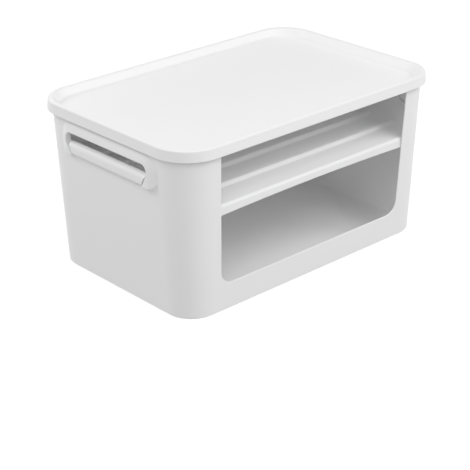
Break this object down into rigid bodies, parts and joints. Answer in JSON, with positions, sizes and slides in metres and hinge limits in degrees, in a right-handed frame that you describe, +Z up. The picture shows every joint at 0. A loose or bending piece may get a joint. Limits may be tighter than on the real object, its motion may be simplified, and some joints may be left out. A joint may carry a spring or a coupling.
{
  "type": "storage container",
  "caption": "Lidded plastic storage box with a U-shaped open front, a ribbed shelf that hooks into the end hand slots, and a lid recessed for stacking.",
  "frame": {"origin": "middle of the base, on the surface that the container stands on", "axes": "+X along the long side, to the right seen from the front; the open front faces -Y; +Z up"},
  "size_m": [0.59, 0.3904, 0.2973],
  "materials": {
    "container": "satin",
    "lid": "satin",
    "shelf": "satin"
  },
  "bodies": {
    "container": {"container": "container"},
    "lid": {"lid": "lid"},
    "shelf": {"shelf": "shelf"}
  },
  "joints": [
    {"name": "lid_lift", "type": "slide", "parent": "container", "child": "lid", "axis": [0, 0, 1], "range_m": [0, 0.15]},
    {"name": "shelf_lift", "type": "slide", "parent": "container", "child": "shelf", "axis": [0, 0, 1], "range_m": [0, 0.014]}
  ]
}
